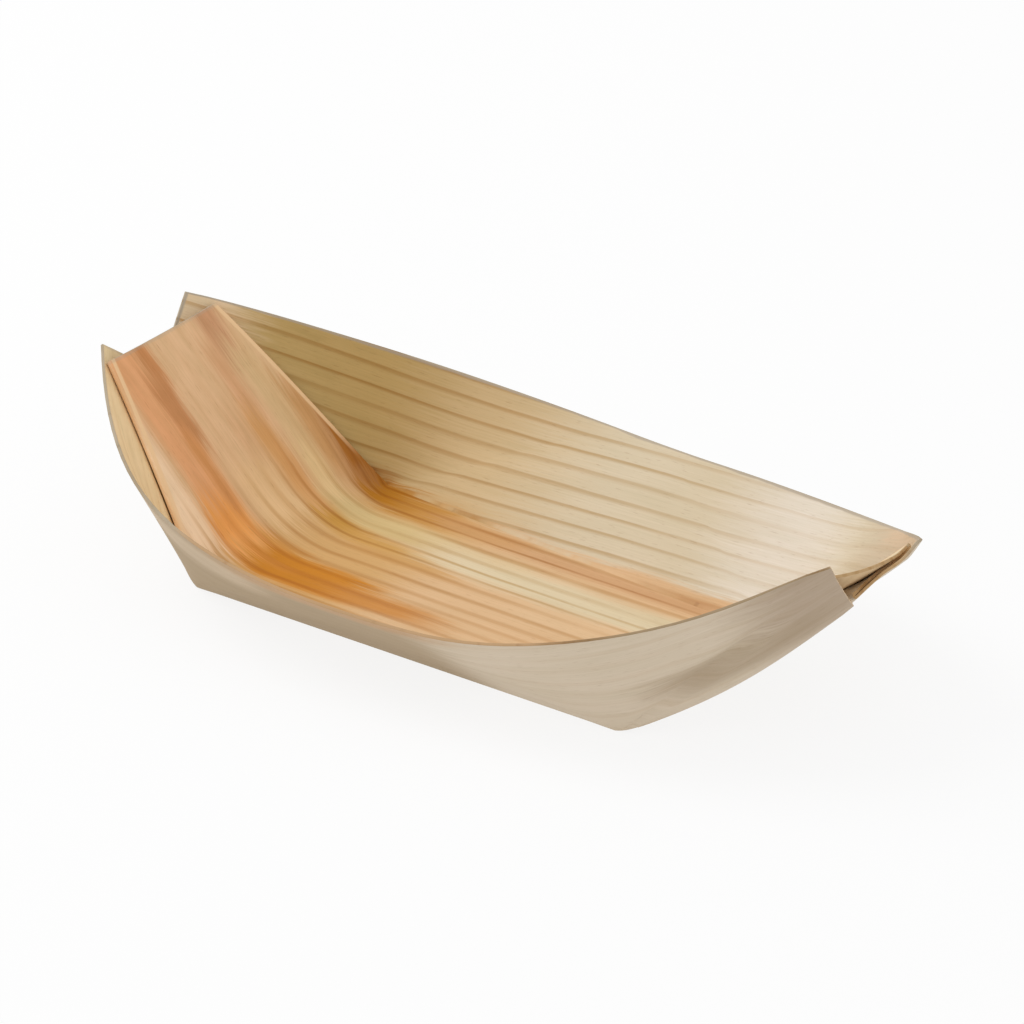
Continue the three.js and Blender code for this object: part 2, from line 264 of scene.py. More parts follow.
def pushed_back(end, side, place, share, behind):
    """How far a bowed ramp and its pleat push the flap back, fading out at the rim and beside the ramp."""
    corner = floor_corner(end, side)
    ray = (border(end, side, place) - corner) * share[..., None]
    points = corner + ray
    run, across = run_of(end, points), points[..., 1]
    bow = ramp_bow(end, run, across)
    needed = bow + 2 * (THICKNESS + HUG_GAP) * pinch(np.linalg.norm(ray, axis=-1))
    lack = needed - depth_of(end, points) - behind
    push = (lack + np.sqrt(lack * lack + PUSH_EASE**2)) / 2 * smooth(bow, 0, PUSH_FROM_BOW)
    beside = smooth(ramp_edge(end, run) - np.abs(across), -PUSH_BESIDE, 0)
    below_tip = 1 - smooth(run, RAMP_LENGTH, RAMP_LENGTH + EAR_RISE)
    on_rim = smooth(share, PUSH_RIM_SHARE, 1) * (1 - smooth(place, 1, PUSH_FLAP_PLACE))
    return push * beside * below_tip * (1 - on_rim)


def stand_off(end, side, place, share):
    """How far the wall steps and bellies out behind the ramp."""
    step = TWO_LAYERS * (1 - np.exp(-share * RAMP_LENGTH / WRAP_TURN)) * (1 - share)
    belly = BELLY[side] * np.sin(math.pi * share)
    behind = step * smooth(place, WRAP_START, 1) + belly * smooth(place, *BELLY_SPAN)
    behind = behind + pushed_back(end, side, place, share, behind)
    return behind[..., None] * np.array([end * math.sin(SLOPE), 0.0, -math.cos(SLOPE)])


def settle(points):
    """The warp of the dried veneer, and the lift that sets the boat on the ground."""
    tip = ear_tip(1, 1)
    reach = smooth(np.abs(points[..., 0]), ROLL_START, tip[0])
    height = np.maximum(points[..., 2], 0) / tip[2]
    roll = np.where(points[..., 0] < 0, ROLL[-1], ROLL[1]) * reach * height
    y = points[..., 1] * np.cos(roll) - points[..., 2] * np.sin(roll)
    z = points[..., 1] * np.sin(roll) + points[..., 2] * np.cos(roll)
    return np.stack([points[..., 0], y, z + THICKNESS], -1)


def outward_normals(points, outward):
    """Normals of a grid of points, turned to the side that the vector outward names."""
    along = np.gradient(points, axis=0, edge_order=2)
    across = np.gradient(points, axis=1, edge_order=2)
    normals = unit(np.cross(along, across))
    middle = tuple(count // 2 for count in points.shape[:2])
    return normals if normals[middle] @ outward > 0 else -normals


# The flat sheet: the wall's fan of lines is rolled out about its floor corner


def flat_border(end, side, place):
    """Where a place on the wall's border lies on the flat sheet."""
    corner = floor_corner(end, side)
    outwards = unit(corner - floor_corner(-end, side))
    samples = np.linspace(0, 2, BORDER_SAMPLES)
    rays = border(end, side, samples) - corner
    lengths = np.linalg.norm(rays, axis=1)
    rays = rays / lengths[:, None]
    turns = np.arccos(np.clip((rays[1:] * rays[:-1]).sum(1), -1, 1))
    angles = np.arccos(rays[0] @ -outwards) + np.concatenate([[0.0], np.cumsum(turns)])
    angle, length = np.interp(place, samples, angles), np.interp(place, samples, lengths)
    aside = side * end * np.array([-outwards[1], outwards[0]])
    return corner[:2] + length * (np.sin(angle) * aside - np.cos(angle) * outwards[:2])


# Closed meshes from an inner and an outer face


class Piece:
    """Corners, faces and their finish for one closed mesh."""

    INSIDE, OUTSIDE, CUT = 0, 1, 2

    def __init__(self):
        self.points = []
        self.index = {}
        self.faces = []

    def corner(self, layer, point):
        """The number of a layer's corner at a point. Points that fall together share one."""
        here = (layer, *np.floor(point / MERGE_CELL))
        if here not in self.index:
            cells = [set(np.floor(value / MERGE_CELL + MERGE_REACH)) for value in point]
            for cell in itertools.product([layer], *cells):
                self.index.setdefault(cell, len(self.points))
            self.points.append(point)
        return self.index[here]

    def face(self, layers, points, places, normals, facing, finish):
        """Adds a face turned towards facing. A face that has no area once its corners fall together is left out."""
        ids = [self.corner(layer, point) for layer, point in zip(layers, points)]
        keep = [i for i in range(len(ids)) if ids[i] != ids[i - 1]]
        if len({ids[i] for i in keep}) < 3:
            return
        spread = sum(np.cross(points[keep[i - 1]], points[keep[i]]) for i in range(len(keep)))
        if spread @ facing < 0:
            keep.reverse()
        flat = unit(spread * (1 if spread @ facing > 0 else -1))
        shade = [flat if normals is None else normals[i] for i in keep]
        self.faces.append(([ids[i] for i in keep], [places[i] for i in keep], shade, finish))

    def grid(self, layer, points, places, normals, finish):
        for r, c in np.ndindex(points.shape[0] - 1, points.shape[1] - 1):
            at = [(r, c), (r, c + 1), (r + 1, c + 1), (r + 1, c)]
            shade = [normals[i] for i in at]
            self.face([layer] * 4, [points[i] for i in at], [places[i] for i in at], shade, sum(shade), finish)

    def strip(self, lines, layers, places, facing, finish):
        """Joins lines of points that lie side by side, such as the two edges of a border."""
        for first, second, low, high in zip(lines, lines[1:], layers, layers[1:]):
            for i in range(len(first) - 1):
                points = [first[i], first[i + 1], second[i + 1], second[i]]
                spots = [places[i], places[i + 1], places[i + 1], places[i]]
                self.face([low, low, high, high], points, spots, None, facing[i] + facing[i + 1], finish)

    def turn(self, number):
        ids, places, shade, finish = self.faces[number]
        self.faces[number] = (ids[::-1], places[::-1], shade[::-1], finish)

    def agree(self):
        """Turns each face to agree with its neighbours, and then the whole piece outwards."""
        borders = {}
        for number, (ids, *_) in enumerate(self.faces):
            for border in zip(ids, ids[1:] + ids[:1]):
                borders.setdefault(frozenset(border), []).append(number)
        seen, waiting = {0}, [0]
        while waiting:
            ids = self.faces[waiting.pop()][0]
            for border in zip(ids, ids[1:] + ids[:1]):
                for other in set(borders[frozenset(border)]) - seen:
                    others = self.faces[other][0]
                    if border in zip(others, others[1:] + others[:1]):
                        self.turn(other)
                    seen.add(other)
                    waiting.append(other)
        corners = [np.array([self.points[i] for i in ids]) for ids, *_ in self.faces]
        volume = sum(c[0] @ np.cross(c[i], c[i + 1]) for c in corners for i in range(1, len(c) - 1))
        if volume < 0:
            for number in range(len(self.faces)):
                self.turn(number)

    def make(self, name, materials):
        self.agree()
        mesh = bpy.data.meshes.new(name)
        mesh.from_pydata(np.array(self.points) * MM, [], [ids for ids, *_ in self.faces])
        for material in materials:
            mesh.materials.append(material)
        mesh.polygons.foreach_set("material_index", [finish for *_, finish in self.faces])
        mesh.polygons.foreach_set("use_smooth", [True] * len(self.faces))
        spots = np.array([spot for _, places, *_ in self.faces for spot in places])
        maps = {"flat_sheet": 0.5 + spots[:, :2] / SHEET_SPAN, "from_rim": spots[:, 2:].repeat(2, 1) / SHEET_SPAN}
        for map_name, places in maps.items():
            mesh.uv_layers.new(name=map_name).uv.foreach_set("vector", places.astype(np.float32).ravel())
        mesh.update()
        mesh.normals_split_custom_set([tuple(shade) for *_, shades, _ in self.faces for shade in shades])
        return set_up(name, mesh)


def sheet_piece(name, inner, outer, places, normals, materials, cut_top=True, bevel=EDGE_BEVEL):
    """A closed piece of veneer from its two faces. Its last row is a cut edge with eased corners."""
    piece = Piece()
    from_rim = np.linalg.norm(places - places[-1], axis=-1) if cut_top else np.full(places.shape[:2], SHEET_SPAN)
    places = np.concatenate([places, from_rim[..., None]], -1)
    edge_layers = ["inner", "outer"]
    lines, layers = [inner[-1], outer[-1]], edge_layers
    if cut_top:
        ease = bevel / THICKNESS
        eased = [blend(inner[-1], outer[-1], part) for part in (ease, 1 - ease)]
        inner, outer = inner.copy(), outer.copy()
        for face in (inner, outer):
            face[-1] += unit(face[-2] - face[-1]) * bevel
        lines, layers = [inner[-1], *eased, outer[-1]], ["inner", "eased_inner", "eased_outer", "outer"]
    piece.grid("inner", inner, places, -normals, Piece.INSIDE)
    piece.grid("outer", outer, places, normals, Piece.OUTSIDE)
    piece.strip(lines, layers, places[-1], inner[-1] - inner[-2], Piece.CUT)
    piece.strip([inner[0], outer[0]], edge_layers, places[0], inner[0] - inner[1], Piece.CUT)
    for column, neighbour in ((0, 1), (-1, -2)):
        away = inner[:, column] - inner[:, neighbour]
        piece.strip([inner[:, column], outer[:, column]], edge_layers, places[:, column], away, Piece.CUT)
        if cut_top:
            ends = [line[column] for line in lines]
            piece.face(layers, ends, [places[-1, column]] * len(ends), None, away[-1], Piece.CUT)
    return piece.make(name, materials)


# The panels of the sheet: inner and outer points by row and column, their flat places, and the outer face's normals


def wall_columns():
    """For each column of a wall: the end it belongs to, its place on the border and its station on the crease."""
    fan = np.linspace(CREASE_PLACE, FLAP_FOLD_PLACE, FAN_COLUMNS + 1)
    fan = np.sort(np.append(fan[np.abs(fan - 1) > TIP_CLEARANCE], 1.0))
    signed = CREASE_PLACE * (2 * STATIONS - 1)
    beyond = np.ones(len(fan) - 1)
    ends = np.concatenate([-beyond, np.where(signed < 0, -1, 1), beyond])
    places = np.concatenate([fan[:0:-1], np.abs(signed), fan[1:]])
    along = np.concatenate([0 * beyond, STATIONS, beyond])
    return ends.astype(int), places, along


def crease_tangent(side, station):
    """The wall's fold with the floor at a station: its place, the ways in and up, its radius and tangent length."""
    left, right = floor_corner(-1, side), floor_corner(1, side)
    crease = unit(right - left)
    inward = unit(np.cross(DOWN, crease) * side)
    place = CREASE_PLACE * np.abs(2 * station - 1)
    base = blend(left, right, station)
    top = np.where((station < 0.5)[..., None], border(-1, side, place), border(1, side, place))
    ray = top - base
    up = unit(ray - (ray @ crease)[..., None] * crease)
    turn = np.arccos(np.clip(-(up @ inward), -1, 1))
    from_corner = np.minimum(station, 1 - station) * FLOOR_LENGTH
    radius = CREASE_RADIUS * smooth(from_corner, 0, CREASE_TAPER)
    return base, inward, up, radius, radius * np.tan(turn / 2)


def wall_faces(side):
    ends, places, along = wall_columns()
    left = (ends < 0)[:, None]
    base, inward, up, radius, tangent = crease_tangent(side, along)
    start = base + up * tangent[:, None]
    top = np.where(left, border(-1, side, places), border(1, side, places))
    share, place = SHARES[:, None], places[None, :]
    straight = start[None] + (top - start)[None] * share[..., None]
    straight += np.where(left, stand_off(-1, side, place, share), stand_off(1, side, place, share))
    inner = settle(straight)
    normals = outward_normals(inner, np.array([0, side, -1.0]))
    normals[0] = np.where((tangent < NO_FOLD)[:, None], normals[1], normals[0])
    part = np.linspace(0, 1, FOLD_ROWS + 1)[:-1, None]
    angle = np.arccos(np.clip(normals[0] @ DOWN, -1, 1))
    aims = unit(np.sin((1 - part) * angle)[..., None] * DOWN + np.sin(part * angle)[..., None] * normals[0])
    folds = base + inward * tangent[:, None] + radius[:, None] * (aims - DOWN) + np.array([0, 0, THICKNESS])
    inner = np.concatenate([folds, inner])
    normals = np.concatenate([aims, normals])
    flat_top = np.array([flat_border(end, side, place) for end, place in zip(ends, places)])
    flat_base = base[:, :2]
    flat = flat_base[None] + (flat_top - flat_base)[None] * SHARES[:, None, None]
    flat = np.concatenate([np.repeat(flat_base[None], FOLD_ROWS, 0), flat])
    return inner, inner + THICKNESS * normals, flat, normals


def ramp_faces(end):
    slope_stretch = math.hypot(1, edge_slant(end))
    place = RAMP_PLACES[None, :]
    radius = BEND_RADIUS * (1 - place * place)
    tangent = radius * math.tan(SLOPE / 2)
    top = RAMP_LENGTH - RAMP_TOP_DIP[end] * (1 - place * place)
    bend_part = np.linspace(0, 1, BEND_ROWS + 1)[:-1, None]
    run = np.concatenate([tangent * (2 * bend_part - 1), tangent + (top - tangent) * SHARES[:, None]])
    turn = SLOPE * np.concatenate([bend_part, np.ones((len(SHARES), 1))]) + 0 * place
    climb = np.maximum(run, 0)
    squeeze = pinch(climb * slope_stretch)
    half = ramp_edge(end, run) - EDGE_FOLD / 2 * squeeze * slope_stretch
    across = place * half
    lift = EDGE_LIFT * squeeze * np.exp(-(((half - np.abs(across)) / EDGE_LIFT_WIDTH) ** 2))
    bending = np.arange(len(run))[:, None] < BEND_ROWS
    arc_x = FLOOR_END - tangent + radius * np.sin(turn)
    arc_z = radius - radius * np.cos(turn)
    arc = np.stack([end * arc_x, across, arc_z], -1)
    points = np.where(bending[..., None], arc, on_ramp(end, run, across, ramp_bow(end, run, across)))
    normal = np.stack([end * np.sin(turn), 0 * turn, -np.cos(turn)], -1)
    inner = settle(points - normal * lift[..., None])
    normals = outward_normals(inner, np.array([end, 0, -1.0]))
    lost = np.linalg.norm(normals, axis=-1) < NO_NORMAL
    normals[lost] = normal[lost]
    edge_distance = np.hypot(climb, np.maximum(FLOOR_WIDTH[end] / 2 - np.abs(across), 0))
    pinched = THICKNESS * (PINCH_THICKNESS + (1 - PINCH_THICKNESS) * pinch(edge_distance))
    thickness = np.where(run < 0, THICKNESS, pinched)
    unpinched = np.maximum(thickness, THICKNESS * smooth(tangent, 0, FULL_BEND))
    thickness = np.where(np.abs(place) < 1, unpinched, thickness)
    arc_length = np.where(bending, radius * turn - tangent, run - 2 * tangent + radius * SLOPE)
    flat = np.stack([end * (FLOOR_END + arc_length), across], -1)
    return inner, inner + thickness[..., None] * normals, flat, normals


def floor_faces():
    place = RAMP_PLACES[None, :]
    station = STATIONS[:, None]
    tangent = BEND_RADIUS * (1 - place * place) * math.tan(SLOPE / 2)
    x = (FLOOR_END - tangent) * (2 * station - 1)
    half = FLOOR_WIDTH[-1] / 2 + (FLOOR_WIDTH[1] - FLOOR_WIDTH[-1]) / 2 * station
    points = np.stack([x, place * half, 0 * x], -1)
    for side in SIDES.values():
        _, inward, _, _, reach = crease_tangent(side, STATIONS)
        fade = smooth(side * place[0], FLOOR_EASE_FROM, 1)
        points += (inward * reach[:, None])[:, None] * fade[None, :, None]
    inner = settle(points)
    normals = np.broadcast_to(DOWN, inner.shape).copy()
    return inner, inner + THICKNESS * normals, points[..., :2], normals


def half_round(first, second, bulge):
    """Half-round arcs from first to second that bulge along the given directions."""
    reach = np.linalg.norm(first - second, axis=-1, keepdims=True) * 2 / 3
    leave, arrive = first + bulge * reach, second + bulge * reach
    t = np.linspace(0, 1, ARC_STEPS + 1)[None, :, None]
    return cubic(first[:, None], leave[:, None], arrive[:, None], second[:, None], t)


def pleat_fan(end, side, part):
    """The lines that fan out over a pleat: bearing, place on the wall's border, reach of the border, and length."""
    corner = floor_corner(end, side)
    samples = np.linspace(PLEAT_FIRST_PLACE, 2, PLEAT_SAMPLES)
    rays = border(end, side, samples)
    bearings = np.arctan2(side * (corner[1] - rays[:, 1]), run_of(end, rays))
    reaches = np.hypot(run_of(end, rays), rays[:, 1] - corner[1])
    edge_bearing = math.atan(edge_slant(end))
    flap_bearing = np.interp(FLAP_FOLD_PLACE, samples, bearings)
    bearing = edge_bearing + (flap_bearing - edge_bearing) * part
    place = np.interp(bearing, bearings, samples)
    reach = np.interp(bearing, bearings, reaches)
    low = np.array([RAMP_LENGTH, edge_slant(end) * RAMP_LENGTH])
    flap_reach = np.interp(FLAP_FOLD_PLACE, samples, reaches)
    high = flap_reach * np.array([math.cos(flap_bearing), math.sin(flap_bearing)])
    along = high - low
    length = (low[0] * along[1] - low[1] * along[0]) / (np.cos(bearing) * along[1] - np.sin(bearing) * along[0])
    return bearing, place, reach, length


def pleat_layers(end, side, part, distance):
    """At a distance from the floor corner: run, place across, and the depths of ramp, pleat and flap."""
    corner = floor_corner(end, side)
    bearing, place, reach, length = pleat_fan(end, side, part)
    flap_point = corner + (border(end, side, place) - corner) * (distance / reach)[..., None]
    flap_point = flap_point + stand_off(end, side, place + 0 * distance, distance / reach)
    behind = depth_of(end, flap_point)
    squeeze = pinch(distance)
    run = distance * np.cos(bearing)
    bow = ramp_bow(end, run, corner[1] - side * distance * np.sin(bearing))
    hug = THICKNESS + HUG_GAP
    nearest = hug * squeeze + bow
    farthest = behind - hug * squeeze
    opening = PLEAT_OPEN_DEEP + (1 - PLEAT_OPEN_DEEP) * smooth(distance / length, *PLEAT_OPEN_SPAN)
    near = nearest + (1 - (1 - part) ** HUG_POWER) * (farthest - nearest) * opening
    near = near - (hug - FOLD_BACK) * squeeze * (1 - part) ** TUCK_POWER
    inset = EDGE_FOLD / 2 * squeeze * (1 - part) ** INSET_POWER
    across = corner[1] - side * (distance * np.sin(bearing) + inset)
    return run, across, bow, near, behind


def panel_edge(panel, row, way):
    """A panel's first or last column from a row on: inner and outer points, the way off the panel, flat places."""
    inner, outer, flat, _ = panel
    column, neighbour = (0, 1) if way < 0 else (-1, -2)
    away = unit(inner[row:, column] - inner[row:, neighbour])
    return inner[row:, column], outer[row:, column], away, flat[row:, column]


def pleat_faces(end, side, ramp, wall):
    """The hidden pleat, with its folds at the ramp's side edge and at the flap's bottom edge."""
    first = int(np.argmax(SHARES * RAMP_LENGTH >= PLEAT_START))
    edge_in, edge_out, edge_away, edge_flat = panel_edge(ramp, BEND_ROWS + first, side)
    flap_in, flap_out, flap_away, flap_flat = panel_edge(wall, FOLD_ROWS + first, end)
    part = np.linspace(0, 1, PLEAT_COLUMNS + 1)[None, :]
    distance = pleat_fan(end, side, part)[-1] * SHARES[first:, None]
    run, across, _, near, _ = pleat_layers(end, side, part, distance)
    near_face = settle(on_ramp(end, run, across, near))
    far_face = settle(on_ramp(end, run, across, near + THICKNESS * pinch(distance)))

    def folded(edge, face, flap):
        from_edge = half_round(edge, face[:, 0], edge_away)[:, :-1]
        to_flap = half_round(face[:, -1], flap, flap_away)[:, 1:]
        return np.concatenate([from_edge, face, to_flap], 1)

    inner, outer = folded(edge_in, far_face, flap_in), folded(edge_out, near_face, flap_out)
    normals = outward_normals((inner + outer) / 2, (outer - inner).mean((0, 1)))
    wide = np.linspace(0, 1, inner.shape[1])[None, :]
    flat = edge_flat[:, None] + (flap_flat - edge_flat)[:, None] * wide[..., None]
    return inner, outer, flat, normals


def glue_dab(name, end, side, at_flap, material):
    """An oval dab of glue, between ramp and pleat or between pleat and flap, beside the fold that joins them."""
    turns = np.linspace(0, 2 * math.pi, GLUE_SPOKES + 1)[None, :]
    radii = np.linspace(0, 1, GLUE_RINGS + 1)[:, None]
    bearings, _, _, lengths = pleat_fan(end, side, np.array([0.0, 1.0]))
    distance = lengths[int(at_flap)] - GLUE_BELOW_TOP + radii * GLUE_LENGTH / 2 * np.cos(turns)
    offset = GLUE_FROM_FOLD + radii * GLUE_WIDTH / 2 * np.sin(turns)
    part = offset / (distance * (bearings[1] - bearings[0]))
    run, across, bow, near, behind = pleat_layers(end, side, 1 - part if at_flap else part, distance)
    low, high = (near + THICKNESS, behind) if at_flap else (bow + THICKNESS, near)
    swell = ((high - low) / 2 - GLUE_GAP) * np.sqrt(1 - GLUE_ROUNDING * radii**2)
    lower, upper = (settle(on_ramp(end, run, across, (low + high) / 2 + way * swell)) for way in (-1, 1))
    down = np.array([end * math.sin(SLOPE), 0.0, -math.cos(SLOPE)])
    piece = Piece()
    places = np.zeros((*distance.shape, 3))
    for layer, face, facing in (("lower", lower, -down), ("upper", upper, down)):
        normals = outward_normals(face[1:], facing)
        normals = np.concatenate([np.broadcast_to(facing, normals[:1].shape), normals])
        piece.grid(layer, face, places, normals, Piece.INSIDE)
    middle = (lower[0, 0] + upper[0, 0]) / 2
    piece.strip([lower[-1], upper[-1]], ["lower", "upper"], places[-1], lower[-1] - middle, Piece.INSIDE)
    return piece.make(name, [material])


# Finishes: the veneer's figure is laid out on the flat sheet, along and across the boat in millimetres


def tone(red, green, blue):
    """A colour as it looks on a screen, 0 to 255, in linear light."""
    parts = [part / 255 for part in (red, green, blue)]
    return (*(p / 12.92 if p <= 0.04045 else ((p + 0.055) / 1.055) ** 2.4 for p in parts), 1.0)


class Board:
    """A node tree, with short ways to add nodes and to join them."""

    # A mix node has sockets for each kind of value. These are the ones for colours.
    MIX_PART, MIX_FIRST, MIX_SECOND, MIX_RESULT = 0, 6, 7, 2

    def __init__(self, tree):
        self.tree = tree

    def put(self, socket, value):
        if isinstance(value, bpy.types.NodeSocket):
            self.tree.links.new(value, socket)
        else:
            socket.default_value = value

    def add(self, kind, values, **settings):
        node = self.tree.nodes.new(kind)
        for name, setting in settings.items():
            setattr(node, name, setting)
        for socket, value in values.items():
            self.put(node.inputs[socket], value)
        return node

    def math(self, operation, *values):
        return self.add("ShaderNodeMath", dict(enumerate(values)), operation=operation).outputs[0]

    def sum(self, first, *others):
        for other in others:
            first = self.math("ADD", first, other)
        return first

    def times(self, first, *others):
        for other in others:
            first = self.math("MULTIPLY", first, other)
        return first

    def minus(self, first, second):
        return self.math("SUBTRACT", first, second)

    def over(self, first, second):
        return self.math("DIVIDE", first, second)

    def size(self, value):
        return self.math("ABSOLUTE", value)

    def rise(self, value, low, high):
        """0 below low, 1 above high, smooth between."""
        values = {"Value": value, "From Min": low, "From Max": high}
        return self.add("ShaderNodeMapRange", values, interpolation_type="SMOOTHSTEP").outputs["Result"]

    def fall(self, value, low, high):
        return self.minus(1.0, self.rise(value, low, high))

    def between(self, value, low, high):
        values = {"Value": value, "To Min": low, "To Max": high}
        return self.add("ShaderNodeMapRange", values).outputs["Result"]

    def grain_noise(self, along, across, length, width, seed, detail):
        """Noise from 0 to 1 in flecks of the given length and width."""
        values = {"X": self.over(along, length), "Y": self.over(across, width), "Z": seed}
        place = self.add("ShaderNodeCombineXYZ", values).outputs[0]
        return self.add("ShaderNodeTexNoise", {"Vector": place, "Scale": 1.0, "Detail": detail}).outputs["Fac"]

    def waver(self, along, across, noise, reach):
        """Noise that swings to both sides of nothing by the given reach."""
        return self.between(self.grain_noise(along, across, *noise), -reach, reach)

    def mix(self, part, first, second, blend_type="MIX"):
        values = {self.MIX_PART: part, self.MIX_FIRST: first, self.MIX_SECOND: second}
        node = self.add("ShaderNodeMix", values, data_type="RGBA", blend_type=blend_type)
        return node.outputs[self.MIX_RESULT]

    def use(self, group, values):
        return self.add("ShaderNodeGroup", values, node_tree=group).outputs


def new_group(draw, inputs, outputs):
    """A node group named for the function that draws it. Its sockets are numbers, but Map is a vector."""
    tree = bpy.data.node_groups.new(draw.__name__, "ShaderNodeTree")
    for way, names in (("INPUT", inputs), ("OUTPUT", outputs)):
        for name in names:
            kind = "NodeSocketVector" if name == "Map" else "NodeSocketFloat"
            tree.interface.new_socket(name, in_out=way, socket_type=kind)
    given = tree.nodes.new("NodeGroupInput").outputs
    result = tree.nodes.new("NodeGroupOutput").inputs
    board = Board(tree)
    for socket, value in zip(outputs, draw(board, *(given[name] for name in inputs))):
        board.put(result[socket], value)
    return tree


def new_material(name):
    """A material, its board and the shader that comes with it."""
    material = bpy.data.materials.new(name)
    material.use_nodes = True
    return material, Board(material.node_tree), material.node_tree.nodes["Principled BSDF"]


# Noise along the grain: a fleck's length and width in millimetres, seed and detail
WANDER_NOISE = (60.0, 38.0, 4.0, 1.0)
RIPPLE_NOISE = (17.0, 7.0, 9.0, 1.0)
RING_NOISE = (150.0, 8.0, 5.0, 1.0)
FADING_NOISE = (24.0, 1.0, 2.0, 1.0)
SWAY_NOISE = (26.0, 9.0, 1.0, 1.0)
FRAY_NOISE = (9.0, 0.4, 6.0, 2.0)
FIBRE_NOISE = (16.0, 0.3, 3.0, 3.0)
PORE_NOISE = (2.6, 0.26, 12.0, 1.0)
CLOUD_NOISE = (21.0, 4.2, 7.0, 2.0)
BLOTCH_NOISE = (7.0, 2.6, 16.0, 3.0)
RIM_NOISE = (5.0, 9.0, 14.0, 2.0)

# How the grain slants and wanders across the sheet
GRAIN_SLANT = -0.025
WANDER = 1.1
RIPPLE = 0.15

# Growth lines: where the back wall begins across the grain, and pairs for the floor and the back wall
BACK_WALL = (24.0, 29.0)
RING_SPACING = 3.5
RING_START = -0.7
RING_UNEVEN = 1.6
UNEVEN_PART = (1.0, 0.4)
WIDER_FROM = 26.0
WIDER_PART = -0.05
BREADTH_PART = (1.0, 0.85)
CRISP_END = (0.8, 0.4)
WEAKEST_LINE = (0.4, 0.7)
PLAIN_PART = (0.35, 0.65)
# Growth lines: ranges across a line, of its own chance, and along the boat
OWN_BREADTH = (1.3, 0.7)
OWN_STRENGTH = (0.5, 1.0)
GRADUAL_SIDE = (-1.05, -0.05)
CRISP_START = 0.1
LINE_STEP = 7.3
FADING = (0.25, 0.6)
MOTTLED_END = (-68.0, -46.0)
MOTTLED_PART = (0.2, 1.0)
LINES_FADE = 50.0

# Streaks, fibres, pale folds (a painted highlight with worn fibres) and greyed rims
SWAY = 1.3
FRAY = 1.3
RAGGED_PART = 5.0
PORE_CUT = (0.62, 0.78)
BLOTCH = 0.9
BLOTCHED_END = (-70.0, -52.0)
HIGHLIGHT_AND_WEAR_INSET = 0.85
HIGHLIGHT_AND_WEAR_BAND = (0.35, 0.8)
HIGHLIGHT_AND_WEAR_CLIMB = (6.0, 16.0)
RIM_UNEVEN = 0.3
RIM_BAND = (0.3, 0.8)
BACK_RIM = (18.0, 24.0)
FRONT_AND_BACK_RIM = (0.35, 1.0)


def sheet_place(board, sheet):
    """Where a spot lies on the flat sheet, and its place across the slightly slanting, wandering grain."""
    split = board.add("ShaderNodeSeparateXYZ", {"Vector": sheet}).outputs
    along, across = (board.times(board.minus(split[axis], 0.5), SHEET_SPAN) for axis in "XY")
    wander = board.waver(along, across, WANDER_NOISE, WANDER)
    ripple = board.waver(along, across, RIPPLE_NOISE, RIPPLE)
    return along, across, board.sum(across, board.times(along, GRAIN_SLANT), wander, ripple)


def growth_lines(board, along, grain, plain_from):
    """The dark lines of late wood: unevenly spaced, gradual on one side and crisp on the other."""
    wall = board.rise(grain, *BACK_WALL)
    uneven = board.times(board.waver(along, grain, RING_NOISE, RING_UNEVEN), board.between(wall, *UNEVEN_PART))
    wider = board.times(board.math("MAXIMUM", board.minus(grain, WIDER_FROM), 0.0), WIDER_PART)
    ring = board.over(board.minus(board.sum(grain, uneven, wider), RING_START), RING_SPACING)
    count = board.math("FLOOR", board.sum(ring, 0.5))
    own = board.add("ShaderNodeTexWhiteNoise", {"W": count}, noise_dimensions="1D").outputs["Value"]
    breadth = board.times(board.between(own, *OWN_BREADTH), board.between(wall, *BREADTH_PART))
    offset = board.over(board.times(board.minus(ring, count), RING_SPACING), breadth)
    gradual = board.rise(offset, *GRADUAL_SIDE)
    crisp = board.fall(offset, CRISP_START, board.between(wall, *CRISP_END))
    fading = board.grain_noise(along, board.times(count, LINE_STEP), *FADING_NOISE)
    weakest = board.between(wall, *WEAKEST_LINE)
    strength = board.sum(weakest, board.times(board.rise(fading, *FADING), board.minus(1.0, weakest)))
    strength = board.times(strength, board.between(own, *OWN_STRENGTH))
    plain = board.rise(along, plain_from, board.sum(plain_from, LINES_FADE))
    plain = board.times(plain, board.between(wall, *PLAIN_PART))
    mottled = board.between(board.rise(along, *MOTTLED_END), *MOTTLED_PART)
    shown = board.minus(1.0, plain)
    return [board.times(gradual, crisp, strength, shown, board.math("MAXIMUM", mottled, wall))]


def streak(board, along, grain, middle, half_width, edge, start, end, fade):
    """A soft band along the grain with frayed edges, from one place along the boat to another."""
    sway = board.waver(along, grain, SWAY_NOISE, SWAY)
    fray = board.waver(along, grain, FRAY_NOISE, FRAY)
    from_middle = board.minus(board.sum(grain, sway, fray), middle)
    past_side = board.minus(board.size(from_middle), half_width)
    within = board.fall(past_side, board.times(edge, -1.0), edge)
    ragged = board.sum(along, board.times(fray, RAGGED_PART))
    starts = board.rise(ragged, board.minus(start, fade), board.sum(start, fade))
    stops = board.fall(ragged, board.minus(end, fade), board.sum(end, fade))
    return [board.times(within, starts, stops)]


def wood_fibre(board, along, grain):
    """Fine fibres, short pores and slow clouds of tone along the grain, with short blotches on the left ramp."""
    fibre = board.grain_noise(along, grain, *FIBRE_NOISE)
    pore = board.rise(board.grain_noise(along, grain, *PORE_NOISE), *PORE_CUT)
    clouds = board.grain_noise(along, grain, *CLOUD_NOISE)
    blotches = board.times(board.waver(along, grain, BLOTCH_NOISE, BLOTCH), board.fall(along, *BLOTCHED_END))
    return fibre, pore, board.sum(clouds, blotches)


